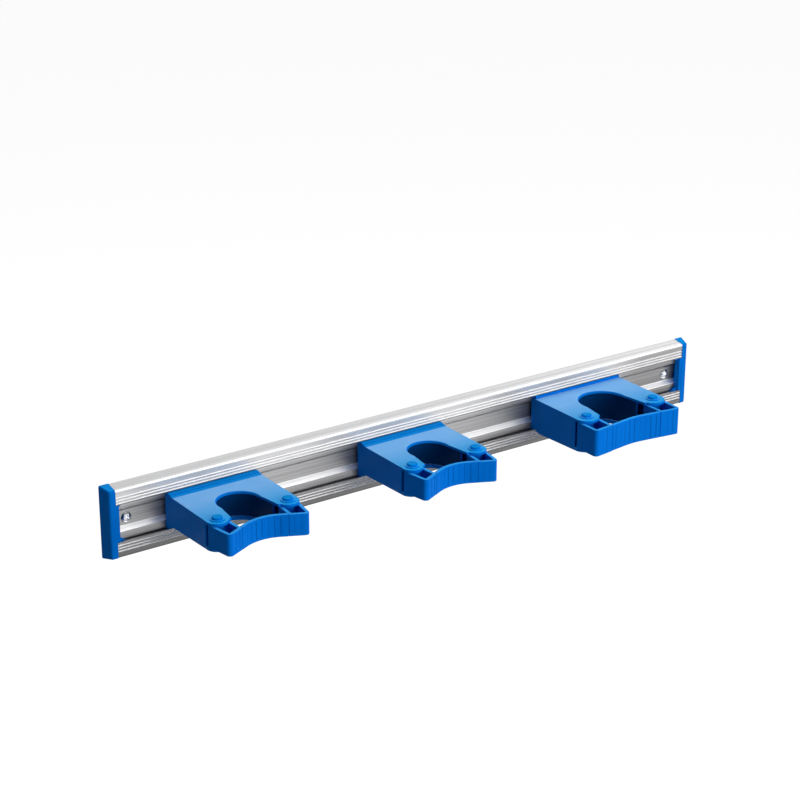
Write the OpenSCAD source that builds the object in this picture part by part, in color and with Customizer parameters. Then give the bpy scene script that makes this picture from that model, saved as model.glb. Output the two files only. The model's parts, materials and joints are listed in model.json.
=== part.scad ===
// Wall rail with three sliding holders for the handles of brushes and mops.
// The wall is the plane y = 0, the holders look towards -Y, and Z is up.
// The origin is in the middle of the face that lies on the wall.

/* [Rail] */
// Length of the rail between its end caps
rail_length = 540; // [500:5:900]
// Height of the rail at the wall
rail_height = 57.2; // [52:0.2:66]
// Depth of the rail from the wall to its front face
rail_depth = 10.4; // [9.6:0.1:13]
// How far the top and bottom faces fall between the wall and the front face
rail_fall = 2; // [0.5:0.1:3]
// Radius of the long front edges of the rail
rail_edge_r = 1.6; // [0.8:0.1:2.4]
// Wall thickness of the extrusion
rail_wall = 1.8; // [1.4:0.1:2.2]
// Thickness of the two lips
lip_thickness = 2.2; // [1.8:0.1:2.6]
// Height of the gap between the lips
lip_gap = 29.6; // [24:0.2:33]
// Depth of the slot behind the lips
slot_depth = 3.2; // [2.6:0.1:3.8]
// Height of the floor of the screw channel
channel_floor = 11.8; // [10:0.2:14]
// Height of the two feet that touch the wall at the top and the bottom
rail_foot = 2.2; // [1.6:0.1:4]
// Grooves in each lip
groove_count = 3; // [0:1:3]
// Distance from one groove to the next
groove_pitch = 2.25; // [1.8:0.05:2.6]
// Distance from the edge of a lip to its first groove
groove_start = 1.8; // [1.2:0.1:2.4]
// Depth of the grooves
groove_depth = 0.6; // [0.3:0.05:0.9]

/* [End caps] */
// Thickness of the outer plate of an end cap at its front
cap_thickness = 5.2; // [4:0.2:8]
// How much thicker the plate is at the wall
cap_flare = 3; // [0:0.2:4]
// How far the cap stands proud of the rail all round
cap_overlap = 0.3; // [0:0.1:0.8]
// Rounding of the outer edge of a cap
cap_edge_r = 1.4; // [0.6:0.1:2]
// How far the web between the lips reaches into the rail
cap_web = 2.4; // [1:0.2:5]
// Length of the two tongues that grip behind the lips
cap_tongue = 10; // [6:1:16]

/* [Wall screws] */
// Distance from the end of the rail to a wall screw
screw_inset = 12; // [9:0.5:30]
// Diameter of the screw's thread
screw_d = 4.5; // [3.5:0.1:5]
// How much thinner the plain neck under the head is
screw_neck = 1.2; // [0.8:0.1:1.6]
// Diameter of the screw head
screw_head_d = 8.4; // [7:0.1:9.4]
// Height of the screw head
screw_head_h = 2.7; // [2:0.1:2.9]
// Length of the thread behind the wall plane
screw_reach = 38; // [25:1:60]
// Width of the screw holes over the thread's diameter
screw_play = 0.6; // [0.2:0.1:1]

/* [Holders] */
// Distance from the left end of the rail to the middle of the first holder
first_inset = 80; // [70:1:100]
// Distance between the middles of the first and the second holder
second_step = 169; // [130:1:200]
// Distance from the right end of the rail to the middle of the third holder
third_inset = 114; // [80:1:130]
// Thickness of the top and bottom plates at the ears
plate_thickness = 2.1; // [1.8:0.1:3]
// Thickness of the outer walls of a housing
side_wall = 2.4; // [1.8:0.1:2.8]
// Thickness of the wall round the handle opening
opening_wall = 2; // [1.6:0.1:2.6]
// How far this wall stands back from the rims of the plates
wall_setback = 1.6; // [0:0.1:1.8]
// Rounding of the rim of the handle opening
rim_round = 1.8; // [1:0.1:2.8]
// Rise of the underside from the back of a housing to its front
belly_rise = 1.6; // [0.4:0.1:2.4]
// Gap between a holder's face and the rail, and between shoe and lips
slide_gap = 0.25; // [0.15:0.05:0.4]
// Distance from the front of the rail to the seam between shoe and housing
collar_depth = 7; // [5:0.5:9]
// Play of the shoe's neck in the gap between the lips
neck_play = 0.3; // [0.2:0.05:0.6]
// How far the shoe's tongues stop short of the bottom of their slots
tongue_play = 0.6; // [0.3:0.1:1.2]
// How far the neck and the tongues stop short of the holder's sides
neck_inset = 0.6; // [0:0.1:6]
// Distance of the shoe screws from the sides of the holder
shoe_screw_inset = 11.4; // [9:0.2:13]
// Diameter of the shoe screws
shoe_screw_d = 3.2; // [2.8:0.1:3.6]
// Length of the shoe screws
shoe_screw_length = 25; // [22:1:27]

/* [Hinges] */
// Diameter of the hinge pins
pin_d = 5; // [4:0.1:6]
// Diameter of a pin's head
pin_head_d = 8.2; // [7.2:0.1:10]
// Height of a pin's head
pin_head_h = 1.6; // [1:0.1:3]
// Diameter of the raised ring round a pin's head
ring_d = 11; // [10.4:0.1:14]
// Height of the raised ring
ring_h = 0.8; // [0.4:0.1:1.2]
// Diameter of the hub of a wing
hub_d = 11.2; // [9.6:0.1:11.4]
// Radial clearance of a pin in its wing
pin_fit = 0.06; // [0.03:0.01:0.1]
// Gap above and below a wing
wing_gap = 0.3; // [0.2:0.05:0.6]
// Wall thickness of the wings
wing_wall = 2.6; // [2:0.1:3.2]
// Radius of the front corners of the wings
corner_r = 3; // [1.5:0.1:4]
// Thickness of the strap between the wings
strap_thickness = 2.8; // [2:0.1:3.4]
// Slot between the side wall and the wing
side_slot = 1.7; // [1.2:0.1:2.4]

/* [Small holders] */
// Width of a small holder
small_width = 76; // [74:0.5:84]
// Height of its top face above the middle of the rail
small_top = 12.8; // [11:0.1:14]
// Depth of its underside below the middle of the rail
small_bottom = 9.2; // [8:0.1:11.5]
// Width of its handle opening at the round end
small_opening = 32.8; // [28:0.2:35]
// Distance from the front of the rail to its handle opening
small_opening_back = 20.9; // [18:0.1:26]
// Radius of its ears, in the middle of which the hinge pins stand
small_ear_r = 8.5; // [7:0.1:9.4]
// Distance from the front of the rail to its pins
small_pin_reach = 57; // [52:0.5:64]
// Distance from the front of the rail to the middle of its strap
small_strap_reach = 68.8; // [66:0.2:74]
// How far its front corners stand in from its sides
small_front_inset = 4.3; // [1:0.1:7]
// Radius of the hollow in its strap
small_hollow_r = 32; // [30:1:60]
// Width of that hollow
small_hollow = 28; // [16:1:32]
// How far its wings toe in from the hub to the strap
small_toe = 1.6; // [0:0.1:3]

/* [Large holder] */
// Width of the large holder
large_width = 89; // [86:0.5:98]
// Height of its top face above the middle of the rail
large_top = 12.2; // [11:0.1:14]
// Depth of its underside below the middle of the rail
large_bottom = 14.8; // [14:0.1:17]
// Width of its handle opening at the round end
large_opening = 39.8; // [35:0.2:44]
// Distance from the front of the rail to its handle opening
large_opening_back = 12.8; // [11.6:0.1:20]
// Radius of its ears, in the middle of which the hinge pins stand
large_ear_r = 9.9; // [8:0.1:11]
// Distance from the front of the rail to its pins
large_pin_reach = 53.4; // [50:0.2:60]
// Distance from the front of the rail to the middle of its strap
large_strap_reach = 72; // [69:0.2:78]
// How far its front corners stand in from its sides
large_front_inset = 0.7; // [0:0.1:4]
// Radius of the hollow in its strap
large_hollow_r = 66; // [60:1:120]
// Width of that hollow
large_hollow = 18; // [12:1:24]
// How far its wings toe in from the hub to the strap
large_toe = -0.6; // [-2:0.1:2]

/* [Hidden] */
$fn = 48;
// Small overlap that keeps cuts clean
eps = 0.01;
// Rounding of the upper rim, which ends above the lower face of the plate
rim_r = min(rim_round, plate_thickness - 0.25);
// Reach of cutters and half planes, well beyond any holder
far = 4 * large_width;
aluminium = [0.74, 0.74, 0.76];
steel = [0.82, 0.82, 0.84];
blue = [0.0, 0.42, 0.82];

// Places in the depth of the rail, from the front face to the wall
lip_back = -rail_depth + lip_thickness;
web_front = lip_back + slot_depth;
web_back = web_front + rail_wall;
channel_front = -rail_wall;
slot_half = rail_height / 2 - rail_fall * (rail_depth - lip_thickness) / rail_depth - rail_wall;
screw_x = rail_length / 2 - screw_inset;

// Places of the shoe and of the seam between it and the housing
neck_half = lip_gap / 2 - neck_play;
tongue_back = web_front - slide_gap;
tongue_front = lip_back + slide_gap;
collar_back = -rail_depth - slide_gap;
seam_y = -rail_depth - collar_depth;

// Places of the shoe screws, whose flat heads lie in the back of the shoe
shoe_screw_sink = shoe_screw_d * 0.9;
shoe_screw_tip = tongue_back - shoe_screw_length;
boss_end = shoe_screw_tip - 1.2;

// A holder is a list of its own sizes, read by the functions below
SMALL = [small_width, small_top, small_bottom, small_opening, small_opening_back, small_ear_r,
    small_pin_reach, small_strap_reach, small_front_inset, small_hollow_r, small_hollow, small_toe];
LARGE = [large_width, large_top, large_bottom, large_opening, large_opening_back, large_ear_r,
    large_pin_reach, large_strap_reach, large_front_inset, large_hollow_r, large_hollow, large_toe];
function half_width(h) = h[0] / 2;
function top_z(h) = h[1];
function bottom_z(h) = -h[2];
function opening_r(h) = h[3] / 2;
function opening_y(h) = -rail_depth - h[4] - opening_r(h);
function ear_r(h) = h[5];
function pin_x(h) = half_width(h) - ear_r(h);
function pin_y(h) = -rail_depth - h[6];
function strap_y(h) = -rail_depth - h[7];
function front_half(h) = half_width(h) - h[8];
function hollow_r(h) = h[9];
function hollow_half(h) = h[10] / 2;
function toe(h) = h[11];
function is_large(h) = h == LARGE;
first_x = -rail_length / 2 + first_inset;
second_x = first_x + second_step;
third_x = rail_length / 2 - third_inset;

// Angle at which the sides of the handle opening spread towards the ears
function flare(h) =
    let (reach = opening_y(h) - pin_y(h), gap = pin_x(h) - ear_r(h) - rim_r - opening_r(h))
    asin(gap / norm([reach, gap]));
// Heights between which a wing and the strap lie
function wing_top(h) = top_z(h) - plate_thickness - wing_gap;
function wing_bottom(h) = bottom_z(h) + plate_thickness + wing_gap;
wing_slack = 0.25;

// The front of the strap: a round hollow that runs out into straight flanks
function hollow_angle(h) = asin(hollow_half(h) / hollow_r(h));
function flank_point(h, back, run) =
    let (a = hollow_angle(h), r = hollow_r(h) + back)
    [r * sin(a) + run * cos(a), strap_y(h) - hollow_r(h) + r * cos(a) - run * sin(a)];
function flank_y(h, x) = flank_point(h, 0, (x - hollow_half(h)) / cos(hollow_angle(h)))[1];

// Corners of the right wing in plan
function outer_back(h) = [half_width(h) - 0.4, pin_y(h) - side_slot / 4];
function outer_front(h) = [front_half(h), flank_y(h, front_half(h))];
function inner_back(h) = [pin_x(h) - ear_r(h), pin_y(h) - side_slot / 4];
function inner_front(h) = [inner_back(h)[0] - toe(h), flank_y(h, inner_back(h)[0])];
function unit(v) = v / norm(v);

// Extrudes a section drawn in depth and height along X, centred on the origin
module along_x(length) {
    translate([-length / 2, 0, 0])
        rotate([90, 0, 90])
            linear_extrude(length)
                children();
}

// Outer outline of the rail in depth and height, grown by some amount all round
module rail_outline(grow = 0) {
    half = rail_height / 2 + grow;
    depth = rail_depth + grow;
    r = rail_edge_r + grow;
    slope = atan(rail_fall / rail_depth);
    z = half - rail_fall * (depth - r) / rail_depth - r / cos(slope);
    touch = [-depth + r - r * sin(slope), z + r * cos(slope)];
    polygon([[0, -half], [0, half], touch, [-depth, z], [-depth, -z], [touch[0], -touch[1]]]);
    for (s = [-1, 1])
        translate([-depth + r, s * z])
            circle(r);
}

// One half of the space behind the web, from the screw channel to a foot
module back_hollow() {
    skew = rail_wall * sqrt(2);
    inner = channel_floor / 2 + skew;
    outer = rail_height / 2 - rail_foot;
    polygon([[eps, inner + channel_front - eps], [web_back, inner + channel_front - web_back],
        [web_back, outer], [eps, outer]]);
}

module rail_section() {
    floor_half = channel_floor / 2;
    mouth_half = floor_half + channel_front - web_front;
    difference() {
        rail_outline();
        translate([lip_back, -slot_half])
            square([slot_depth, 2 * slot_half]);
        translate([-rail_depth - 1, -lip_gap / 2])
            square([lip_thickness + 1 + eps, lip_gap]);
        polygon([[web_front - eps, -mouth_half], [channel_front, -floor_half],
            [channel_front, floor_half], [web_front - eps, mouth_half]]);
        for (s = [0, 1])
            mirror([0, s]) {
                back_hollow();
                if (groove_count > 0)
                    for (i = [0 : groove_count - 1])
                        translate([-rail_depth, lip_gap / 2 + groove_start + i * groove_pitch])
                            rotate(45)
                                square(groove_depth * sqrt(2), center = true);
            }
    }
}

module rail() {
    color(aluminium)
        difference() {
            along_x(rail_length)
                rail_section();
            for (s = [-1, 1])
                translate([s * screw_x, 1, 0])
                    rotate([90, 0, 0])
                        cylinder(d = screw_d + screw_play, h = rail_wall + 2);
        }
}

// End cap for the right end; the left one is its mirror image
module end_cap() {
    steps = 4;
    web_half = neck_half;
    play = 0.1;
    // outer plate: it is thicker at the wall than at the front and has a rounded edge
    hull() {
        translate([rail_length / 2, 0, 0])
            rotate([90, 0, 90])
                linear_extrude(eps)
                    rail_outline(cap_overlap, $fn = 24);
        for (i = [0 : steps]) {
            a = 90 * i / steps;
            translate([rail_length / 2 + cap_thickness - cap_edge_r * (1 - sin(a)), 0, 0])
                multmatrix([[1, cap_flare / rail_depth, 0, cap_flare], [0, 1, 0, 0], [0, 0, 1, 0]])
                    rotate([90, 0, 90])
                        linear_extrude(eps)
                            rail_outline(cap_overlap - cap_edge_r * (1 - cos(a)), $fn = 24);
        }
    }
    // web that closes the gap between the lips
    translate([rail_length / 2 - cap_web, -rail_depth, -web_half])
        cube([cap_web + eps, rail_depth + web_front - play, 2 * web_half]);
    // tongues behind the lips
    for (s = [0, 1])
        mirror([0, 0, s])
            translate([rail_length / 2, 0, 0])
                rotate([90, 0, 0])
                    translate([0, 0, -tongue_back])
                        linear_extrude(tongue_back - tongue_front)
                            polygon([[eps, web_half - 3], [eps, slot_half - play],
                                [-cap_tongue + 2, slot_half - play], [-cap_tongue, slot_half - 2],
                                [-cap_tongue, web_half + 2], [-cap_web, web_half - 3]]);
}

module end_cap_right() {
    color(blue)
        end_cap();
}

module end_cap_left() {
    color(blue)
        mirror([1, 0, 0])
            end_cap();
}

// Pan-head screw on the floor of the channel, its point behind the wall plane
module wall_screw() {
    head_r = screw_head_d / 2;
    thread_r = screw_d / 2;
    tip = 5;
    dome_r = (head_r * head_r + screw_head_h * screw_head_h) / (2 * screw_head_h);
    slot_w = 1.3;
    translate([0, channel_front, 0])
        rotate([90, 0, 0])
            difference() {
                union() {
                    // domed head
                    intersection() {
                        cylinder(r = head_r, h = screw_head_h);
                        translate([0, 0, screw_head_h - dome_r])
                            rotate_extrude()
                                intersection() {
                                    circle(dome_r);
                                    translate([0, -dome_r])
                                        square([dome_r, 2 * dome_r]);
                                }
                    }
                    // plain neck in the rail, then the thread and its point behind the wall plane
                    translate([0, 0, channel_front - eps])
                        cylinder(r = thread_r - screw_neck / 2, h = 2 * eps - channel_front);
                    translate([0, 0, channel_front - screw_reach + tip])
                        cylinder(r = thread_r, h = screw_reach - tip);
                    translate([0, 0, channel_front - screw_reach])
                        rotate_extrude()
                            polygon([[0, 0], [0, tip + eps], [thread_r, tip + eps], [thread_r, tip]]);
                }
                // cross recess
                for (a = [0, 90])
                    rotate(a)
                        translate([-head_r * 0.55, -slot_w / 2, screw_head_h - 1.6])
                            cube([head_r * 1.1, slot_w, 2]);
            }
}

module wall_screw_left() {
    color(steel)
        translate([-screw_x, 0, 0])
            wall_screw();
}

module wall_screw_right() {
    color(steel)
        translate([screw_x, 0, 0])
            wall_screw();
}

// Plan of the handle opening, grown by some amount; it spreads towards the ears
module opening_plan(h, grow = 0) {
    r = opening_r(h) + grow;
    a = flare(h);
    side = (r - eps) * [cos(a), sin(a)];
    run = [far * sin(a), -far * cos(a)];
    translate([0, opening_y(h)]) {
        circle(r);
        polygon([side, side + run, [-side[0] - run[0], side[1] + run[1]], [-side[0], side[1]]]);
    }
}

// Plan of the top and bottom plates, from their back edge to the round ears
module plate_plan(h, back) {
    half = half_width(h);
    difference() {
        union() {
            translate([-half, pin_y(h)])
                square([2 * half, back - pin_y(h)]);
            for (s = [-1, 1])
                translate([s * pin_x(h), pin_y(h)]) {
                    circle(ear_r(h));
                    translate([s > 0 ? -ear_r(h) - rim_r : 0, -ear_r(h) * 0.35])
                        square([ear_r(h) + rim_r, ear_r(h) * 0.4]);
                }
        }
        opening_plan(h);
    }
}

// Plan of the walls between the plates
module wall_plan(h) {
    half = half_width(h);
    side_end = pin_y(h) + side_slot * 0.8;
    opening_end = pin_y(h) + ear_r(h) * 0.72;
    difference() {
        union() {
            // side walls with round ends
            for (s = [0, 1])
                mirror([s, 0]) {
                    translate([half - side_wall, side_end + side_wall / 2])
                        square([side_wall, seam_y - side_end - side_wall / 2]);
                    translate([half - side_wall / 2, side_end + side_wall / 2])
                        circle(side_wall / 2);
                }
            // back wall
            translate([-half, seam_y - side_wall])
                square([2 * half, side_wall]);
            // wall round the opening
            intersection() {
                opening_plan(h, wall_setback + opening_wall);
                translate([-half, opening_end])
                    square([2 * half, seam_y - opening_end]);
            }
        }
        opening_plan(h, wall_setback);
        for (s = [-1, 1])
            translate([s * pin_x(h), pin_y(h)])
                circle(d = hub_d + 0.8);
    }
}

// Cutter that rounds the upper rim of the handle opening
module rim_cutter(h) {
    r = opening_r(h);
    a = flare(h);
    translate([0, opening_y(h), top_z(h) - rim_r]) {
        rotate(-a)
            rotate_extrude(angle = 180 + 2 * a)
                translate([r, 0])
                    rim_corner();
        for (s = [0, 1])
            mirror([s, 0, 0])
                rotate(-a)
                    translate([r, 0, 0])
                        rotate([90, 0, 0])
                            linear_extrude(far)
                                rim_corner();
    }
}

// Section that the rim cutter takes away: a square less a quarter circle drawn in steps
module rim_corner() {
    steps = 5;
    round_side = [for (i = [0 : steps - 1]) rim_r * [1 - sin(90 * i / steps), cos(90 * i / steps)]];
    run_out = -0.4 * round_side[steps - 1];
    polygon(concat([[-1, run_out[1]], [-1, rim_r + 1], [rim_r, rim_r + 1]], round_side, [run_out]));
}

function shoe_screw_x(h) = half_width(h) - shoe_screw_inset;

// A housing: two plates, walls, bosses for the shoe screws and rings round the pins
module housing(h) {
    height = top_z(h) - bottom_z(h);
    rise = atan(belly_rise / (seam_y - pin_y(h)));
    cover = is_large(h) ? collar_back : seam_y;
    boss_d = shoe_screw_d + 4;
    under = 4 * plate_thickness;
    difference() {
        union() {
            translate([0, 0, top_z(h) - plate_thickness])
                linear_extrude(plate_thickness)
                    plate_plan(h, cover);
            translate([0, 0, bottom_z(h) - belly_rise])
                linear_extrude(plate_thickness + belly_rise)
                    plate_plan(h, seam_y);
            translate([0, 0, bottom_z(h) - belly_rise])
                linear_extrude(height + belly_rise - eps)
                    wall_plan(h);
            for (s = [-1, 1]) {
                translate([s * pin_x(h), pin_y(h), top_z(h) - eps])
                    cylinder(d = ring_d, h = ring_h + eps);
                translate([s * shoe_screw_x(h), seam_y - side_wall + eps, 0])
                    rotate([90, 0, 0])
                        cylinder(d = boss_d, h = seam_y - side_wall - boss_end);
            }
        }
        rim_cutter(h);
        // the underside rises towards the ears
        translate([-half_width(h) - 1, pin_y(h), bottom_z(h)])
            rotate([-rise, 0, 0])
                translate([0, -2 * ear_r(h), -under])
                    cube([2 * half_width(h) + 2, 3 * ear_r(h) + seam_y - pin_y(h), under]);
        for (s = [-1, 1]) {
            translate([s * pin_x(h), pin_y(h), bottom_z(h) - belly_rise - 1])
                cylinder(d = pin_d + 0.1, h = height + belly_rise + ring_h + 2);
            translate([s * shoe_screw_x(h), seam_y + 1, 0])
                rotate([90, 0, 0])
                    cylinder(d = shoe_screw_d, h = seam_y + 1 - shoe_screw_tip + 0.3);
        }
    }
}

// The shoe's collar seen from the side; its upper face has a fine groove on a small holder
module collar_section(h) {
    top = is_large(h) ? top_z(h) - plate_thickness : top_z(h);
    crest = is_large(h) ? top : neck_half;
    line_y = (collar_back + seam_y) / 2;
    line_z = (crest + top) / 2;
    difference() {
        polygon([[collar_back, -neck_half], [collar_back, crest], [seam_y, top],
            [seam_y, bottom_z(h) - belly_rise]]);
        if (!is_large(h))
            translate([line_y, line_z])
                rotate(45)
                    square(0.6, center = true);
    }
}

// A shoe: tongue behind the lips, neck between them and collar in front of them
module shoe(h) {
    length = 2 * half_width(h);
    tongue = length - 2 * neck_inset;
    difference() {
        union() {
            along_x(length)
                collar_section(h);
            along_x(tongue)
                translate([collar_back - eps, -neck_half])
                    square([tongue_back - collar_back + eps, 2 * neck_half]);
            along_x(tongue)
                translate([tongue_front, -slot_half + tongue_play])
                    square([tongue_back - tongue_front, 2 * (slot_half - tongue_play)]);
        }
        for (s = [-1, 1])
            translate([s * shoe_screw_x(h), 0, 0])
                rotate([90, 0, 0]) {
                    translate([0, 0, -tongue_back - 1])
                        cylinder(d = shoe_screw_d + 0.2, h = -seam_y + tongue_back + 2);
                    translate([0, 0, -tongue_back - eps])
                        cylinder(d1 = 2 * shoe_screw_sink + 0.2, d2 = shoe_screw_d + 0.2, h = shoe_screw_sink + eps);
                }
    }
}

// Countersunk screws that hold the housing on the shoe
module shoe_screws(h) {
    shank_d = shoe_screw_d - 0.04;
    for (s = [-1, 1])
        translate([s * shoe_screw_x(h), tongue_back, 0])
            rotate([90, 0, 0]) {
                cylinder(d = shank_d, h = shoe_screw_length);
                cylinder(d1 = 2 * shoe_screw_sink, d2 = shank_d, h = shoe_screw_sink);
            }
}

// A half plane to the left of the line through p in direction d
module left_of(p, d) {
    translate(p)
        rotate(atan2(d[1], d[0]))
            translate([-far, 0])
                square([2 * far, far]);
}

// Everything in front of the strap's front face moved back by some amount
module front_space(h, back = 0) {
    steps = 14;
    r = hollow_r(h) + back;
    a = hollow_angle(h);
    out = flank_point(h, back, far);
    hollow = [for (i = [-steps : steps])
        [r * sin(a * i / steps), strap_y(h) - hollow_r(h) + r * cos(a * i / steps)]];
    polygon(concat([[-out[0], -2 * far], [-out[0], out[1]]], hollow, [out, [out[0], -2 * far]]));
}

// Plan of the right wing's body with its outline drawn in by some amount
module wing_body(h, inset = 0) {
    o = outer_back(h);
    i = inner_back(h);
    out_dir = unit(outer_front(h) - o);
    in_dir = unit(inner_front(h) - i);
    difference() {
        intersection() {
            left_of(o + inset * [out_dir[1], -out_dir[0]], -out_dir);
            left_of(i + inset * [-in_dir[1], in_dir[0]], in_dir);
            left_of(i - [0, inset], [-1, 0]);
        }
        front_space(h, inset);
    }
}

// What a round front corner leaves out of the wing's outline; its ends run out of the body
module corner_cut(h) {
    steps = 7;
    b = outer_front(h);
    u = unit(outer_back(h) - b);
    v = unit(flank_point(h, 0, 0) - b);
    half = acos(u * v) / 2;
    turn = 180 - 2 * half;
    mid = b + unit(u + v) * corner_r / sin(half);
    first = b + u * corner_r / tan(half) - mid;
    last = b + v * corner_r / tan(half) - mid;
    arc = [for (i = [1 : steps - 1])
        mid + (first * sin(turn * (1 - i / steps)) + last * sin(turn * i / steps)) / sin(turn)];
    polygon(concat([b - unit(u + v) * corner_r, mid + 1.02 * first], arc, [mid + 1.02 * last]));
}

// Right wing: hub, walls and a pocket that is open above and below
module wing(h) {
    height = wing_top(h) - wing_bottom(h);
    difference() {
        translate([0, 0, wing_bottom(h)])
            linear_extrude(height)
                difference() {
                    union() {
                        wing_body(h);
                        translate([pin_x(h), pin_y(h)])
                            circle(d = hub_d);
                    }
                    corner_cut(h);
                    difference() {
                        wing_body(h, wing_wall);
                        translate([pin_x(h), pin_y(h)])
                            circle(d = hub_d);
                    }
                }
        translate([pin_x(h), pin_y(h), wing_bottom(h) - 1])
            cylinder(d = pin_d + 2 * pin_fit, h = height + 2);
    }
}

// The strap between the wings, whose ends lie along the wings' inner faces
module strap(h) {
    i = inner_back(h);
    in_dir = unit(inner_front(h) - i);
    slack = wing_slack * [in_dir[1], -in_dir[0]];
    translate([0, 0, wing_bottom(h)])
        linear_extrude(wing_top(h) - wing_bottom(h))
            intersection() {
                difference() {
                    front_space(h, strap_thickness);
                    front_space(h);
                }
                left_of(i + slack, -in_dir);
                mirror([1, 0])
                    left_of(i + slack, -in_dir);
            }
}

// Hinge pin with a rounded head on the ring of the upper ear
module hinge_pin(h) {
    round_r = pin_head_h * 0.5;
    head_r = pin_head_d / 2;
    seat = top_z(h) + ring_h;
    foot = bottom_z(h) + 0.2;
    translate([pin_x(h), pin_y(h), 0]) {
        translate([0, 0, foot])
            cylinder(d = pin_d, h = seat - foot + eps);
        translate([0, 0, seat])
            rotate_extrude() {
                square([head_r - round_r, pin_head_h]);
                square([head_r, pin_head_h - round_r]);
                translate([head_r - round_r, pin_head_h - round_r])
                    intersection() {
                        circle(round_r);
                        square(round_r);
                    }
            }
    }
}

// One holder's pieces, each coloured and moved to its place along the rail
module placed(x, side = 1) {
    color(blue)
        translate([x, 0, 0])
            mirror([side < 0 ? 1 : 0, 0, 0])
                children();
}

module placed_screws(x) {
    color(steel)
        translate([x, 0, 0])
            children();
}

module housing_1() { placed(first_x) housing(SMALL); }
module shoe_1() { placed(first_x) shoe(SMALL); }
module shoe_screws_1() { placed_screws(first_x) shoe_screws(SMALL); }
module wing_left_1() { placed(first_x, -1) wing(SMALL); }
module wing_right_1() { placed(first_x) wing(SMALL); }
module strap_1() { placed(first_x) strap(SMALL); }
module hinge_pin_left_1() { placed(first_x, -1) hinge_pin(SMALL); }
module hinge_pin_right_1() { placed(first_x) hinge_pin(SMALL); }

module housing_2() { placed(second_x) housing(SMALL); }
module shoe_2() { placed(second_x) shoe(SMALL); }
module shoe_screws_2() { placed_screws(second_x) shoe_screws(SMALL); }
module wing_left_2() { placed(second_x, -1) wing(SMALL); }
module wing_right_2() { placed(second_x) wing(SMALL); }
module strap_2() { placed(second_x) strap(SMALL); }
module hinge_pin_left_2() { placed(second_x, -1) hinge_pin(SMALL); }
module hinge_pin_right_2() { placed(second_x) hinge_pin(SMALL); }

module housing_3() { placed(third_x) housing(LARGE); }
module shoe_3() { placed(third_x) shoe(LARGE); }
module shoe_screws_3() { placed_screws(third_x) shoe_screws(LARGE); }
module wing_left_3() { placed(third_x, -1) wing(LARGE); }
module wing_right_3() { placed(third_x) wing(LARGE); }
module strap_3() { placed(third_x) strap(LARGE); }
module hinge_pin_left_3() { placed(third_x, -1) hinge_pin(LARGE); }
module hinge_pin_right_3() { placed(third_x) hinge_pin(LARGE); }

rail();
end_cap_left();
end_cap_right();
wall_screw_left();
wall_screw_right();
housing_1();
shoe_1();
shoe_screws_1();
wing_left_1();
wing_right_1();
strap_1();
hinge_pin_left_1();
hinge_pin_right_1();
housing_2();
shoe_2();
shoe_screws_2();
wing_left_2();
wing_right_2();
strap_2();
hinge_pin_left_2();
hinge_pin_right_2();
housing_3();
shoe_3();
shoe_screws_3();
wing_left_3();
wing_right_3();
strap_3();
hinge_pin_left_3();
hinge_pin_right_3();
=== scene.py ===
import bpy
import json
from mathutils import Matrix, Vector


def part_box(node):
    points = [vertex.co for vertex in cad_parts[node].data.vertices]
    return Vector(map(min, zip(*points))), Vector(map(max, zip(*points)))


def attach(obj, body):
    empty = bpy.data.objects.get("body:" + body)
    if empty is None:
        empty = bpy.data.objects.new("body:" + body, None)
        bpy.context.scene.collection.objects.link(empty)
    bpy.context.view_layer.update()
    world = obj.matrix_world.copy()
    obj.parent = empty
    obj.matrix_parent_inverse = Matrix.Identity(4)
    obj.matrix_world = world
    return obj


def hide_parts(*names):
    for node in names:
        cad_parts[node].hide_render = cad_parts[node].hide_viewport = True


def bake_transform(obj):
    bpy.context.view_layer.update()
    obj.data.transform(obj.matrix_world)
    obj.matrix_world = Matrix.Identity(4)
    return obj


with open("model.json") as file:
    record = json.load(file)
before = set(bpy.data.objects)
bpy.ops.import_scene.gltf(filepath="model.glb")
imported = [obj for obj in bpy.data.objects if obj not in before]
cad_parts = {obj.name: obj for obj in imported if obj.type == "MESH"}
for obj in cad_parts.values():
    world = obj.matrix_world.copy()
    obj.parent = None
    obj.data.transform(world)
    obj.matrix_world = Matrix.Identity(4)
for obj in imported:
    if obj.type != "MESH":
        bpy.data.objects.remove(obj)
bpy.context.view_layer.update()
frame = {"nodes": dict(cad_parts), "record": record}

import json
import math

import bmesh
import bpy
from bpy.props import FloatProperty, FloatVectorProperty, PointerProperty
from mathutils import Matrix, Vector

bl_info = {
    "name": "Tool holder rail",
    "version": (1, 0, 0),
    "blender": (4, 5, 0),
    "location": "3D View > Sidebar > Tool Rail",
    "description": "Finishes a wall rail with sliding holders for brush and mop handles",
    "category": "Object",
}

HOLDERS = (1, 2, 3)
SIDES = {"left": -1, "right": 1}
# Middle of the round end of each handle opening, which its mount gives, and its radius
MOUNTS = {mount["name"]: mount["pos_m"] for mount in frame["record"]["mounts"]}
OPENING_Y = {i: MOUNTS[f"handle_{i}"][1] for i in HOLDERS}
OPENING_R = {1: 0.0164, 2: 0.0164, 3: 0.0199}
# Radius of the hollow in the front of each holder's grip, half its width, and the strap's thickness
HOLLOW_R = {1: 0.032, 2: 0.032, 3: 0.066}
HOLLOW_HALF = {1: 0.014, 2: 0.014, 3: 0.009}
STRAP_THICKNESS = 0.0028
# Distance of the grip's grooves from its upper and lower edge
GROOVE_MARGIN = 0.0016
# Half the height of the opening between the rail's lips
LIP_OPENING = 0.0148
# The rounded outer ends of the end caps lie further than this from the middle of the rail
CAP_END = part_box("end_cap_right")[1].x - 0.00015
# A face looks up above the first value of its normal's Z, and stands upright below the second
FLAT = 0.99
UPRIGHT = 0.3
# Names of the marks on the meshes: rounded edges, and faces with painted shade or painted light
ROUNDED_EDGE = "edge_wear"
SHADE_AND_LIGHT_MARK = "second_colour"
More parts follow.
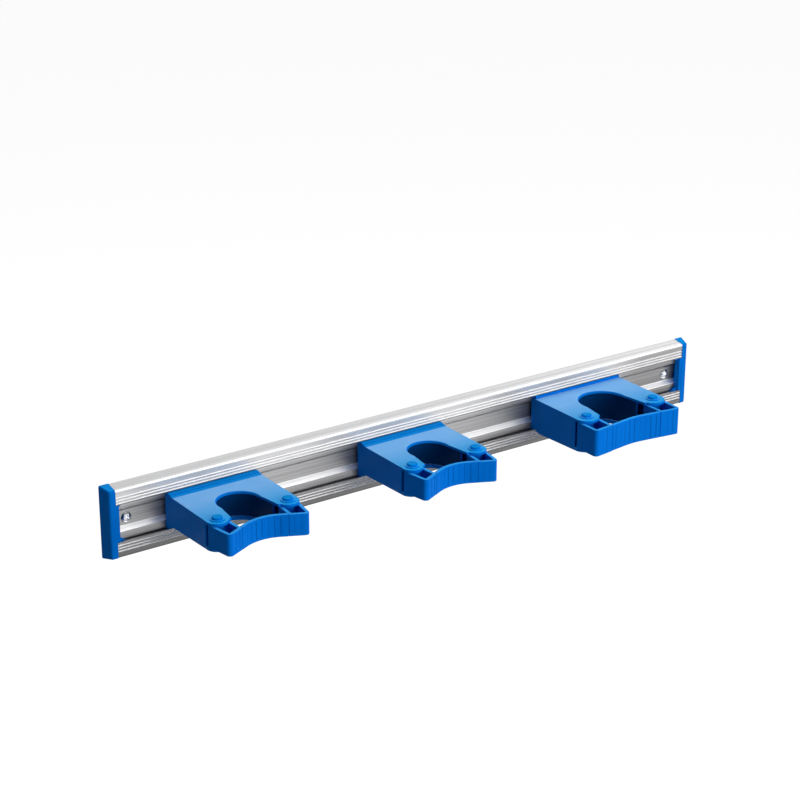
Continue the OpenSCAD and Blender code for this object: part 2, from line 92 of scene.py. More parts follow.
# The painted shade as a share of a finish's colour, where a finish names no painted light, and the
# tint of the gloss on plastic
IN_SHADE = 0.22
BLUE_GLOSS = (0.15, 0.55, 1.0)
# Rounding of the edges of screws and pins, and of shoes and straps as a share of the housings'
# and the wings'
SCREW_EDGE = 0.00012
PIN_EDGE = 0.0003
SHOE_EDGE_SHARE = 0.7
STRAP_EDGE_SHARE = 0.8

# The stage: floor, light from the room, place and size of each soft light, and the camera
FLOOR_SIZE = 14
FLOOR_GLOW = 0.95
SKY = (0.97, 0.98, 1.0)
LEAST_LIGHT = 0.05
PRODUCT_MIDDLE = (0, -0.04, 0)
SOFTBOXES = {
    "key": ((0.95, -2.52, 0.45), (3.0, 1.6)),
    "top": ((0.3, 0.25, 1.7), (2.2, 1.2)),
    "fill": ((-2.4, -0.9, 0.1), (1.8, 1.2)),
}
CAMERA_PLACE = (-0.8984, -1.2719, 0.6440)
CAMERA_TURNS = (("Z", -34.784), ("X", 68.574), ("Z", 0.052))
SENSOR = 36
LENS = 95.925


# Sizes and colours

class RailSettings(bpy.types.PropertyGroup):
    metal: FloatVectorProperty(
        name="Aluminium", description="Colour of the anodised rail", subtype="COLOR",
        default=(0.90, 0.90, 0.91), min=0, max=1)
    edge: FloatProperty(
        name="Edge", description="Rounding of the rail's edges", subtype="DISTANCE", unit="LENGTH",
        default=0.00015, min=0.00005, max=0.0004, precision=5)
    line_width: FloatProperty(
        name="Line width", description="Width of the drawing lines along the rail",
        subtype="DISTANCE", unit="LENGTH", default=0.0004, min=0.0001, max=0.002, precision=5)
    steel: FloatVectorProperty(
        name="Screw steel", description="Colour of the zinc plated screws", subtype="COLOR",
        default=(0.56, 0.57, 0.59), min=0, max=1)
    thread: FloatProperty(
        name="Thread", description="Outer diameter of the wall screws' thread",
        subtype="DISTANCE", unit="LENGTH", default=0.0045, min=0.0035, max=0.0045, precision=4)
    thread_pitch: FloatProperty(
        name="Thread pitch", description="Step of the wall screws' thread",
        subtype="DISTANCE", unit="LENGTH", default=0.0022, min=0.001, max=0.004, precision=4)


class HolderSettings(bpy.types.PropertyGroup):
    body: FloatVectorProperty(
        name="Holder plastic", description="Colour of the housings and shoes", subtype="COLOR",
        default=(0.0, 0.165, 0.66), min=0, max=1)
    # The paler colour is a painted sheen on the housings' upper faces
    sheen_colour: FloatVectorProperty(
        name="Dusty top", description="Paler colour of the housings' upper faces", subtype="COLOR",
        default=(0.20, 0.48, 0.90), min=0, max=1)
    # This colour is painted top light on the housings' upper faces
    clean: FloatVectorProperty(
        name="Clean top", description="Colour of the upper faces where they are free of dust",
        subtype="COLOR", default=(0.0, 0.375, 0.86), min=0, max=1)
    cap: FloatVectorProperty(
        name="Cap plastic", description="Colour of the end caps", subtype="COLOR",
        default=(0.0, 0.155, 0.62), min=0, max=1)
    pin: FloatVectorProperty(
        name="Pin plastic", description="Colour of the hinge pins", subtype="COLOR",
        default=(0.0, 0.172, 0.66), min=0, max=1)
    rim_edge: FloatProperty(
        name="Rim edge", description="Rounding of the rims of the housings' top plates",
        subtype="DISTANCE", unit="LENGTH", default=0.0012, min=0.0005, max=0.0018, precision=4)
    slot_relief: FloatProperty(
        name="Slot relief",
        description="How much further the side walls stand back from the wings than in the solids",
        subtype="DISTANCE", unit="LENGTH", default=0.0011, min=0.0, max=0.002, precision=4)
    housing_edge: FloatProperty(
        name="Housing edge", description="Rounding of the housings' and shoes' edges",
        subtype="DISTANCE", unit="LENGTH", default=0.0004, min=0.0001, max=0.0008, precision=5)
    cap_edge: FloatProperty(
        name="Cap edge", description="Rounding of the end caps' edges",
        subtype="DISTANCE", unit="LENGTH", default=0.0004, min=0.0001, max=0.0008, precision=5)
    cap_corner: FloatProperty(
        name="Cap corner", description="Rounding of the outer corners of the end caps",
        subtype="DISTANCE", unit="LENGTH", default=0.0011, min=0.0005, max=0.0014, precision=4)


class GripSettings(bpy.types.PropertyGroup):
    rubber: FloatVectorProperty(
        name="Grip", description="Colour of the wings and straps", subtype="COLOR",
        default=(0.0, 0.162, 0.67), min=0, max=1)
    # The paler colour is a painted sheen on the grip's upper rims
    sheen_colour: FloatVectorProperty(
        name="Dusty rims", description="Paler colour of the grip's upper rims", subtype="COLOR",
        default=(0.03, 0.36, 0.92), min=0, max=1)
    wing_edge: FloatProperty(
        name="Wing edge", description="Rounding of the wings' edges",
        subtype="DISTANCE", unit="LENGTH", default=0.0008, min=0.0002, max=0.0011, precision=5)
    groove_width: FloatProperty(
        name="Groove width", description="Width of the upright grooves in the grip's front",
        subtype="DISTANCE", unit="LENGTH", default=0.0011, min=0.0005, max=0.002, precision=5)
    groove_depth: FloatProperty(
        name="Groove depth", description="Depth of these grooves",
        subtype="DISTANCE", unit="LENGTH", default=0.0002, min=0.0001, max=0.0006, precision=5)
    small_pitch: FloatProperty(
        name="Small pitch", description="Distance between the grooves of a small holder",
        subtype="DISTANCE", unit="LENGTH", default=0.0048, min=0.003, max=0.012, precision=4)
    large_pitch: FloatProperty(
        name="Large pitch", description="Distance between the grooves of the large holder",
        subtype="DISTANCE", unit="LENGTH", default=0.0053, min=0.003, max=0.012, precision=4)


class StageSettings(bpy.types.PropertyGroup):
    floor: FloatVectorProperty(
        name="Floor", description="Colour of the plain floor", subtype="COLOR",
        default=(0.2, 0.2, 0.2), min=0, max=1)
    drop: FloatProperty(
        name="Drop", description="Distance from the wall rail down to the floor",
        subtype="DISTANCE", unit="LENGTH", default=0.6, min=0.05, max=2.0)
    key: FloatProperty(
        name="Key light", description="Power of the large soft light at the front right",
        unit="POWER", default=76.0, min=0, max=300)
    top: FloatProperty(
        name="Top light", description="Power of the soft light overhead",
        unit="POWER", default=25.0, min=0, max=200)
    fill: FloatProperty(
        name="Fill light", description="Power of the weak soft light at the left",
        unit="POWER", default=6.0, min=0, max=200)
    room: FloatProperty(
        name="Room light", description="Strength of the light from overhead",
        default=0.08, min=0, max=1)


# Tools of the bench

def pick(piece):
    """Leaves only this piece selected and active."""
    bpy.ops.object.select_all(action="DESELECT")
    piece.select_set(True)
    bpy.context.view_layer.objects.active = piece


def edit_select(piece, faces=None, edges=None, verts=None):
    """Selects in edit mode what a test picks by its place or normal, and gives its number."""
    kind = "FACE" if faces else "EDGE" if edges else "VERT"
    bpy.ops.mesh.select_mode(type=kind)
    bpy.ops.mesh.select_all(action="DESELECT")
    mesh = bmesh.from_edit_mesh(piece.data)
    test = faces or edges or verts
    found = 0
    for item in (mesh.faces if faces else mesh.edges if edges else mesh.verts):
        if test(item):
            item.select_set(True)
            found += 1
    bmesh.update_edit_mesh(piece.data)
    return found


def middle_of(node_name):
    """The middle of a node's box."""
    low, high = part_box(node_name)
    return (low + high) / 2


def twin(source, name):
    """A copy of an object with a mesh of its own, selected and active."""
    piece = bpy.data.objects.new(name, source.data.copy())
    bpy.context.scene.collection.objects.link(piece)
    pick(piece)
    return piece


def copy_node(node_name, name, finish):
    """A merged copy of a CAD node with flat faces in one piece, ready to be shaped. Its second
    material marks the rounded edges until they are finished."""
    piece = twin(frame["nodes"][node_name], name)
    piece.data.materials.clear()
    piece.data.materials.append(finish)
    piece.data.materials.append(finish)
    bpy.ops.mesh.customdata_custom_splitnormals_clear()
    bpy.ops.object.mode_set(mode="EDIT")
    bpy.ops.mesh.select_all(action="SELECT")
    bpy.ops.mesh.remove_doubles(threshold=0.000005)
    bpy.ops.mesh.normals_make_consistent(inside=False)
    bpy.ops.mesh.select_all(action="SELECT")
    bpy.ops.mesh.dissolve_limited(angle_limit=math.radians(0.4), delimit={"NORMAL"})
    bpy.ops.object.mode_set(mode="OBJECT")
    return piece


def soften(piece, width, edges, segments=4):
    """Rounds the edges that a test picks more widely than the rest. Gives how many were picked."""
    pick(piece)
    bpy.ops.object.mode_set(mode="EDIT")
    found = edit_select(piece, edges=edges)
    if found:
        bpy.ops.mesh.bevel(
            offset=width, offset_type="OFFSET", segments=segments, profile=0.5, affect="EDGES",
            clamp_overlap=True, material=1)
    bpy.ops.object.mode_set(mode="OBJECT")
    return found


def round_edges(piece, width, segments=3, limit=30):
    """Bevels every edge sharper than a limit in degrees, marks the new faces as lighter edges,
    partly worn and partly a painted highlight, and smooths the piece."""
    pick(piece)
    bpy.ops.object.modifier_add(type="BEVEL")
    bevel = piece.modifiers[-1]
    bevel.width = width
    bevel.segments = segments
    bevel.limit_method = "ANGLE"
    bevel.angle_limit = math.radians(limit)
    bevel.miter_outer = "MITER_ARC"
    bevel.use_clamp_overlap = True
    bevel.material = 1
    bpy.ops.object.modifier_apply(modifier=bevel.name)
    mesh = piece.data
    edge_light = mesh.attributes.new(ROUNDED_EDGE, "FLOAT", "CORNER")
    for face in mesh.polygons:
        for corner in face.loop_indices:
            edge_light.data[corner].value = float(face.material_index == 1)
        face.material_index = 0
    mesh.materials.pop(index=1)
    smooth(piece)


def smooth(piece, angle=38):
    """Smooth shading between faces that meet softly, with the large faces kept flat."""
    pick(piece)
    bpy.ops.object.shade_smooth_by_angle(angle=math.radians(angle))
    bpy.ops.object.modifier_add(type="WEIGHTED_NORMAL")
    weighted = piece.modifiers[-1]
    weighted.keep_sharp = True
    bpy.ops.object.modifier_apply(modifier=weighted.name)


def dress_node(node_name, finish):
    """Gives a CAD node that keeps its own shape its finish."""
    mesh = frame["nodes"][node_name].data
    mesh.materials.clear()
    mesh.materials.append(finish)


def hand_over(piece, body, node_name):
    """Lets a finished piece ride on its body and stand for its node, which it hides."""
    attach(piece, body)
    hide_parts(node_name)


# Finishes

def feed(tree, node, inputs):
    """Gives a node's inputs plain numbers, colours in three parts or links from other nodes."""
    for name, value in inputs.items():
        socket = node.inputs[name]
        if isinstance(value, bpy.types.NodeSocket):
            tree.links.new(value, socket)
        elif isinstance(value, tuple):
            socket.default_value = (*value, 1.0)
        else:
            socket.default_value = value


def add_node(tree, kind, inputs=None, **settings):
    made = tree.nodes.new(kind)
    for name, value in settings.items():
        setattr(made, name, value)
    feed(tree, made, inputs or {})
    return made


def new_group(name, inputs, outputs):
    """A node group. Its inputs are named with their defaults, or with None for a vector, and its
    outputs are values."""
    tree = bpy.data.node_groups.new(name, "ShaderNodeTree")
    for label, default in inputs.items():
        kind = "NodeSocketVector" if default is None else "NodeSocketFloat"
        socket = tree.interface.new_socket(name=label, in_out="INPUT", socket_type=kind)
        if default is not None:
            socket.default_value = default
    for label in outputs:
        tree.interface.new_socket(name=label, in_out="OUTPUT", socket_type="NodeSocketFloat")
    given = tree.nodes.new("NodeGroupInput")
    return tree, given.outputs, tree.nodes.new("NodeGroupOutput")


def maths(tree, operation, first, second=None, clamp=False):
    inputs = {0: first} if second is None else {0: first, 1: second}
    made = add_node(tree, "ShaderNodeMath", inputs, operation=operation, use_clamp=clamp)
    return made.outputs[0]


def product(tree, first, *others):
    for other in others:
        first = maths(tree, "MULTIPLY", first, other)
    return first


def without(tree, mask):
    return maths(tree, "SUBTRACT", 1.0, mask)


def per(tree, size):
    return maths(tree, "DIVIDE", 1.0, size)


def rise(tree, value, start, over):
    """0 until the value reaches a start, and 1 from a little beyond it."""
    beyond = maths(tree, "SUBTRACT", value, start)
    return maths(tree, "MULTIPLY", beyond, 1 / over, clamp=True)


def split(tree, vector):
    """The X, Y and Z of a vector."""
    return add_node(tree, "ShaderNodeSeparateXYZ", {0: vector}).outputs


def noise(tree, vector, scale, detail, rough):
    inputs = {"Vector": vector, "Scale": scale, "Detail": detail, "Roughness": rough}
    return add_node(tree, "ShaderNodeTexNoise", inputs).outputs["Fac"]


def spread(tree, value, low, high, given=(0.3, 0.7), kind="LINEAR"):
    """Maps the given range of a value, such as the middle of a noise, to another range."""
    inputs = {
        "Value": value, "From Min": given[0], "From Max": given[1], "To Min": low, "To Max": high}
    return add_node(tree, "ShaderNodeMapRange", inputs, interpolation_type=kind).outputs[0]


def moulded_grain():
    """Fine grain and soft cloudiness of a moulded surface."""
    name = "Moulded Grain"
    if name in bpy.data.node_groups:
        return bpy.data.node_groups[name]
    tree, given, out = new_group(
        name, {"Position": None, "Grain Size": 0.0004, "Cloud Size": 0.02},
        ("Height", "Shade", "Gloss"))
    place = given["Position"]
    fine, cloud = per(tree, given["Grain Size"]), per(tree, given["Cloud Size"])
    feed(tree, out, {
        "Height": noise(tree, place, fine, detail=3.0, rough=0.6),
        "Shade": noise(tree, place, cloud, detail=3.0, rough=0.55),
        "Gloss": noise(tree, place, product(tree, cloud, 5.0), detail=2.0, rough=0.5)})
    return tree


def drawn_lines():
    """Lines that drawing an extrusion through its die leaves along its length."""
    name = "Drawn Lines"
    if name in bpy.data.node_groups:
        return bpy.data.node_groups[name]
    tree, given, out = new_group(
        name, {"Position": None, "Line Width": 0.0004, "Line Length": 0.2},
        ("Height", "Shade", "Gloss"))
    band_scale, contrast, band_share = 0.3, 3.0, 0.65
    length, width = given["Line Length"], given["Line Width"]
    size = add_node(tree, "ShaderNodeCombineXYZ", {"X": length, "Y": width, "Z": width})
    place = add_node(
        tree, "ShaderNodeVectorMath", {0: given["Position"], 1: size.outputs[0]},
        operation="DIVIDE").outputs[0]
    lines = noise(tree, place, 1.0, detail=2.0, rough=0.6)
    bands = noise(tree, place, band_scale, detail=2.0, rough=0.5)
    clear = product(tree, maths(tree, "SUBTRACT", bands, 0.5), contrast)
    broad = product(tree, maths(tree, "ADD", clear, 0.5), band_share)
    fine = product(tree, lines, 1 - band_share)
    feed(tree, out, {
        "Height": lines, "Shade": maths(tree, "ADD", fine, broad, clamp=True), "Gloss": bands})
    return tree


def edge_rub_and_highlight():
    """Patchy mask of the lighter edges, partly worn and partly a painted highlight, from the mark
    that the bevels leave.
    """
    name = "Edge Rub"
    if name in bpy.data.node_groups:
        return bpy.data.node_groups[name]
    tree, given, out = new_group(
        name, {"Position": None, "Edge": 0.0, "Amount": 0.5, "Patch Size": 0.006}, ("Mask",))
    field = noise(tree, given["Position"], per(tree, given["Patch Size"]), detail=4.0, rough=0.6)
    patches = spread(tree, field, low=0.25, high=1.0, given=(0.35, 0.65))
    rubbed_and_lit = product(tree, patches, given["Edge"])
    feed(tree, out, {"Mask": maths(tree, "MULTIPLY", rubbed_and_lit, given["Amount"], clamp=True)})
    return tree


def painted_sheen_masks():
    """Masks of the faces that look up, Lying, and of a painted sheen in patches on them, which
    thins out towards the front by Front Fade."""
    name = "Settled Dust"
    if name in bpy.data.node_groups:
        return bpy.data.node_groups[name]
    tree, given, out = new_group(
        name,
        {"Position": None, "Normal": None, "Start": 0.8, "Patch Size": 0.012, "Front Fade": 0.0},
        ("Mask", "Lying"))
    fade_end, fade_start = -0.072, -0.034
    look = split(tree, given["Normal"])["Z"]
    upward = spread(tree, look, 0.0, 1.0, (given["Start"], FLAT), "SMOOTHSTEP")
    cloud = noise(tree, given["Position"], per(tree, given["Patch Size"]), detail=3.0, rough=0.55)
    depth = split(tree, given["Position"])["Y"]
    fade = spread(
        tree, depth, without(tree, given["Front Fade"]), 1.0, (fade_end, fade_start))
    lying = product(tree, upward, spread(tree, cloud, low=0.85, high=1.0))
    feed(tree, out, {"Mask": product(tree, lying, fade), "Lying": lying})
    return tree


def painted_rail_shade():
    """Mask of the painted shade and painted reflection of a dark room on the metal: the rail's
    channel, its lips and its top.
    """
    name = "Channel Shade"
    if name in bpy.data.node_groups:
        return bpy.data.node_groups[name]
    tree, given, out = new_group(
        name,
        {"Position": None, "Normal": None, "Front": -0.0075, "Half Height": 0.025,
         "Lip Edge": LIP_OPENING + 0.0007, "Groove Floor": -0.0102, "Groove Reach": 0.0226,
         "Lip Amount": 0.6, "Lower Amount": 0.985, "Ridge Amount": 0.36, "Inside Amount": 0.775,
         "Top Amount": 0.47, "Top Slope": 0.7, "End Start": 0.185, "End Amount": 0.22},
        ("Mask",))
    place = split(tree, given["Position"])
    look = split(tree, given["Normal"])["Z"]
    height = maths(tree, "ABSOLUTE", place["Z"])
    sharp, top_start, end_inside = 0.0002, 0.63, 0.57

    # Where the metal lies: in the channel or outside it, and how near to the right end, where the
    # painted shade is deeper
    inside = product(
        tree, rise(tree, place["Y"], given["Front"], over=0.00125),
        rise(tree, given["Half Height"], height, over=0.000667))
    beyond = without(tree, inside)
    far = product(tree, rise(tree, place["X"], given["End Start"], over=0.04), given["End Amount"])

    # Painted shade in the channel, on all but the sloped strip
    inner = maths(tree, "ADD", given["Inside Amount"], product(tree, far, end_inside))
    within = product(tree, inside, inner, without(tree, rise(tree, look, 0.0, over=0.625)))

    # Painted reflection on the lips, most on the lower one, painted shade in the grooves and a
    # painted shadow along the upper one's edge
    lower = product(tree, rise(tree, 0.0, place["Z"], over=0.0125), given["Lower Amount"])
    rim = product(
        tree, rise(tree, given["Lip Edge"], place["Z"], sharp),
        rise(tree, place["Z"], 0.0, sharp))
    ridged = rise(tree, given["Groove Reach"], height, sharp)
    grooves = product(tree, rise(tree, place["Y"], given["Groove Floor"], sharp), ridged)
    lip = maths(tree, "MAXIMUM", lower, maths(tree, "ADD", given["Lip Amount"], far))
    lip = maths(tree, "MAXIMUM", lip, maths(tree, "MAXIMUM", rim, grooves))
    steep = product(tree, lip, without(tree, rise(tree, look, UPRIGHT, over=0.2222)))
    outside = maths(tree, "MAXIMUM", steep, product(tree, ridged, given["Ridge Amount"]))

    # Painted reflection on the top, less towards the right end
    slope = product(tree, place["X"], given["Top Slope"])
    amount = maths(tree, "SUBTRACT", given["Top Amount"], slope)
    top = product(tree, rise(tree, look, top_start, over=0.16667), beyond, amount)

    sides = maths(tree, "ADD", within, product(tree, beyond, outside))
    feed(tree, out, {"Mask": maths(tree, "MAXIMUM", sides, top)})
    return tree


def use_group(tree, group, position, **values):
    """Outputs of a node group. Its inputs are given by name, with an underscore for each space."""
    inputs = {label.replace("_", " "): value for label, value in values.items()}
    inputs["Position"] = position
    return add_node(tree, "ShaderNodeGroup", inputs, node_tree=group).outputs


def start_finish(name):
    """A new material with its Principled shader and its place in object coordinates."""
    material = bpy.data.materials.new(name)
    material.use_nodes = True
    tree = material.node_tree
    place = add_node(tree, "ShaderNodeTexCoord").outputs["Object"]
    return material, tree, tree.nodes["Principled BSDF"], place


def face_normal(tree):
    return add_node(tree, "ShaderNodeNewGeometry").outputs["Normal"]


def mark(tree, name):
    """Value of a mark on the mesh."""
    return add_node(tree, "ShaderNodeAttribute", attribute_name=name).outputs["Fac"]


def scaled(colour, factor):
    return tuple(min(1.0, part * factor) for part in colour)


def blend_colour(tree, factor, first, second):
    made = add_node(
        tree, "ShaderNodeMix", {0: factor, 6: first, 7: second}, data_type="RGBA")
    return made.outputs[2]


def two_tones(tree, factor, colour, dark, light):
    """A blend between a darker and a lighter share of a colour."""
    return blend_colour(tree, factor, scaled(colour, dark), scaled(colour, light))


def relief(tree, height, strength, distance):
    """The normal of a surface with fine relief."""
    inputs = {"Height": height, "Strength": strength, "Distance": distance}
    return add_node(tree, "ShaderNodeBump", inputs).outputs[0]


def plastic_finish(name, colour, sheen_colour, rough, shine, grain, edge_lightening,
                   start=0.8, fade=0.0, painted_light_colour=None, clean=None):
    """Moulded plastic: clouded colour, fine grain, lighter edges partly worn and partly a painted
    highlight, painted top light and painted sheen on the upper faces, and painted shade or painted
    light on faces with the mark.
    """
    if name in bpy.data.materials:
        return bpy.data.materials[name]
    material, tree, shader, place = start_finish(name)
    surface = use_group(tree, moulded_grain(), place, Grain_Size=grain, Cloud_Size=0.022)
    # Painted top light and painted sheen on the upper faces, the sheen fading towards the front
    sheen = use_group(
        tree, painted_sheen_masks(), place, Normal=face_normal(tree), Start=start, Patch_Size=0.015,
        Front_Fade=fade)
    edge_light = use_group(
        tree, edge_rub_and_highlight(), place, Edge=mark(tree, ROUNDED_EDGE), Amount=edge_lightening, Patch_Size=0.007)
    clouded = two_tones(tree, surface["Shade"], colour, dark=0.90, light=1.10)
    # Lighter edges: partly worn, partly a painted highlight
    rubbed_and_lit = blend_colour(tree, edge_light["Mask"], clouded, scaled(colour, 1.25))
    if clean:
        rubbed_and_lit = blend_colour(tree, sheen["Lying"], rubbed_and_lit, clean)
    sheened = blend_colour(tree, sheen["Mask"], rubbed_and_lit, sheen_colour)
    # Faces with the mark show painted shade, a dark share of the colour, unless the finish gives a
    # painted light colour
    second = painted_light_colour or scaled(colour, IN_SHADE)
    feed(tree, shader, {
        "Base Color": blend_colour(tree, mark(tree, SHADE_AND_LIGHT_MARK), sheened, second),
        "Roughness": spread(tree, surface["Gloss"], low=rough - 0.05, high=rough + 0.06),
        "Normal": relief(tree, surface["Height"], strength=0.25, distance=0.00006),
        "Specular IOR Level": shine, "Specular Tint": BLUE_GLOSS})
    return material


def aluminium_finish(settings):
    """Anodised aluminium with drawing lines along the rail."""
    name = "anodised_aluminium"
    if name in bpy.data.materials:
        return bpy.data.materials[name]
    material, tree, shader, place = start_finish(name)
    metal = tuple(settings.metal)
    lines = use_group(
        tree, drawn_lines(), place, Line_Width=settings.line_width, Line_Length=0.25)
    surface = use_group(tree, moulded_grain(), place, Grain_Size=0.0003, Cloud_Size=0.05)
    edge_light = use_group(
        tree, edge_rub_and_highlight(), place, Edge=mark(tree, ROUNDED_EDGE), Amount=0.3, Patch_Size=0.01)
    # Painted shade and painted reflection of a dark room: the metal is darker in the channel, on
    # the lips and on the top
    shade = use_group(tree, painted_rail_shade(), place, Normal=face_normal(tree))
    drawn = two_tones(tree, lines["Shade"], metal, dark=0.78, light=1.1)
    clouds = product(tree, surface["Shade"], 0.12)
    clouded = blend_colour(tree, clouds, drawn, scaled(metal, 0.8))
    # Colour of the painted shade
    shaded = two_tones(tree, lines["Shade"], metal, dark=0.08, light=0.17)
    shaded = blend_colour(tree, shade["Mask"], clouded, shaded)
    height = maths(tree, "ADD", lines["Height"], product(tree, surface["Height"], 0.25))
    # Lighter edges: partly worn, partly a painted highlight
    feed(tree, shader, {
        "Base Color": blend_colour(tree, edge_light["Mask"], shaded, scaled(metal, 1.08)),
        "Roughness": spread(tree, lines["Gloss"], low=0.36, high=0.5), "Metallic": 1.0,
        "Normal": relief(tree, height, strength=0.2, distance=0.00002)})
    return material


def steel_finish(settings):
    """Zinc plated steel, shiny with faint clouds and lighter edges, partly handling marks and
    partly a painted highlight.
    """
    name = "plated_steel"
    if name in bpy.data.materials:
        return bpy.data.materials[name]
    material, tree, shader, place = start_finish(name)
    steel = tuple(settings.steel)
    cool_cloud = (0.86, 0.88, 0.92)
    dull = tuple(part * share for part, share in zip(steel, cool_cloud))
    surface = use_group(tree, moulded_grain(), place, Grain_Size=0.0002, Cloud_Size=0.002)
    edge_light = use_group(
        tree, edge_rub_and_highlight(), place, Edge=mark(tree, ROUNDED_EDGE), Amount=0.8, Patch_Size=0.001)
    clouded = blend_colour(tree, surface["Shade"], dull, steel)
    # Lighter edges: partly worn, partly a painted highlight
    feed(tree, shader, {
        "Base Color": blend_colour(tree, edge_light["Mask"], clouded, scaled(steel, 1.15)),
        "Roughness": spread(tree, surface["Gloss"], low=0.12, high=0.28), "Metallic": 1.0,
        "Normal": relief(tree, surface["Height"], strength=0.15, distance=0.00002)})
    return material


# The paler top colours of these finishes are painted sheen and painted top light on their upper
# faces
def body_finish(context):
    settings = context.scene.holder
    return plastic_finish(
        "body_blue", tuple(settings.body), tuple(settings.sheen_colour), rough=0.45, shine=0.06,
        grain=0.00045, edge_lightening=0.35, fade=0.95, clean=tuple(settings.clean))


def shoe_finish(context):
    return plastic_finish(
        "shoe_blue", tuple(context.scene.holder.body), sheen_colour=(0.0, 0.24, 0.72), rough=0.5,
        shine=0.05, grain=0.00045, edge_lightening=0.35)


def cap_finish(context):
    # The lighter colour is painted light on the right cap's face inside the channel
    return plastic_finish(
        "cap_blue", tuple(context.scene.holder.cap), sheen_colour=(0.0, 0.27, 0.76), rough=0.5,
        shine=0.05, grain=0.0004, edge_lightening=0.4, painted_light_colour=(0.0, 0.28, 1.0))


def pin_finish(context):
    return plastic_finish(
        "pin_blue", tuple(context.scene.holder.pin), sheen_colour=(0.0, 0.27, 0.74), rough=0.55,
        shine=0.03, grain=0.0003, edge_lightening=0.4)


def grip_finish(context):
    settings = context.scene.grip
    return plastic_finish(
        "grip_blue", tuple(settings.rubber), tuple(settings.sheen_colour), rough=0.55, shine=0.05,
        grain=0.00035, edge_lightening=0.4, start=0.4)


# Pieces

class BuildRail(bpy.types.Operator):
    """Rail: the extrusion with softly broken edges and drawing lines"""
    bl_idname = "toolrail.rail"
    bl_label = "Rail"

    def execute(self, context):
        settings = context.scene.rail
        piece = copy_node("rail", "rail_extrusion", aluminium_finish(settings))
        round_edges(piece, settings.edge, segments=2)
        hand_over(piece, "rail", "rail")
        return {"FINISHED"}


def mark_faces(piece, share):
    """Stores how much painted shade, or on the right end cap painted light, each face shows."""
    mesh = piece.data
    marks = mesh.attributes.new(SHADE_AND_LIGHT_MARK, "FLOAT", "CORNER")
    for face in mesh.polygons:
        value = share(face)
        for corner in face.loop_indices:
            marks.data[corner].value = value


def on_end(edge):
    """Whether an edge bounds the outer end of an end cap."""
    return (len(edge.link_faces) == 2 and edge.is_convex
            and all(abs(v.co.x) > CAP_END for v in edge.verts)
            and min(abs(face.normal.x) for face in edge.link_faces) < UPRIGHT)


def in_channel(face):
    """Whether a face of the right end cap looks into the rail's channel, where it gets painted
    light.
    """
    flat = 0.9
    return float(face.normal.x < -flat and abs(face.center.z) < LIP_OPENING)


class BuildEndCaps(bpy.types.Operator):
    """End caps: the two plastic ends of the rail"""
    bl_idname = "toolrail.end_caps"
    bl_label = "End caps"

    def execute(self, context):
        settings = context.scene.holder
        for side in SIDES:
            piece = copy_node(f"end_cap_{side}", f"cap_{side}", cap_finish(context))
            if not soften(piece, settings.cap_corner, on_end):
                raise RuntimeError("no outer edges found on the end cap")
            round_edges(piece, settings.cap_edge, limit=35)
            # Painted light on the right cap's face inside the channel, as if lit from the channel
            mark_faces(piece, in_channel if side == "right" else lambda face: 0.0)
            hand_over(piece, "rail", f"end_cap_{side}")
        return {"FINISHED"}


def model_thread(settings, core, finish):
    """The thread of a wall screw: a ridge that climbs round the Y axis, on the screw's core."""
    neck, tip, flatness, steps = 0.0008, 0.0045, 0.7, 20
    outside = settings.thread / 2
    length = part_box("wall_screw_left")[1].y - tip - neck
    bpy.ops.object.select_all(action="DESELECT")
    bpy.ops.mesh.primitive_circle_add(vertices=3, radius=outside - core, location=(0, 0, 0))
    ridge = bpy.context.object
    bpy.ops.object.mode_set(mode="EDIT")
    bpy.ops.mesh.select_all(action="SELECT")
    bpy.ops.transform.rotate(value=math.radians(90), orient_axis="Z", center_override=(0, 0, 0))
    bpy.ops.object.mode_set(mode="OBJECT")
    reach = [v.co.x for v in ridge.data.vertices]
    if reach[0] < 0:
        raise RuntimeError("the thread's ridge points to its axis")
    bpy.ops.object.mode_set(mode="EDIT")
    bpy.ops.transform.resize(value=(1, flatness, 1), center_override=(0, 0, 0))
    bpy.ops.transform.translate(value=(outside - max(reach), neck, 0))
    bpy.ops.object.mode_set(mode="OBJECT")
    bpy.ops.object.modifier_add(type="SCREW")
    climb = ridge.modifiers[-1]
    climb.axis = "Y"
    climb.screw_offset = settings.thread_pitch
    climb.iterations = int(length / settings.thread_pitch)
    climb.steps = climb.render_steps = steps
    bpy.ops.object.modifier_apply(modifier=climb.name)
    bpy.ops.object.mode_set(mode="EDIT")
    for at_start in (True, False):
        edit_select(ridge, edges=lambda edge: len(edge.link_faces) == 1 and all(
            (v.co.y < neck + settings.thread_pitch / 2) == at_start for v in edge.verts))
        bpy.ops.mesh.edge_face_add()
    bpy.ops.mesh.select_all(action="SELECT")
    bpy.ops.mesh.normals_make_consistent(inside=False)
    bpy.ops.object.mode_set(mode="OBJECT")
    ridge.data.materials.append(finish)
    return ridge


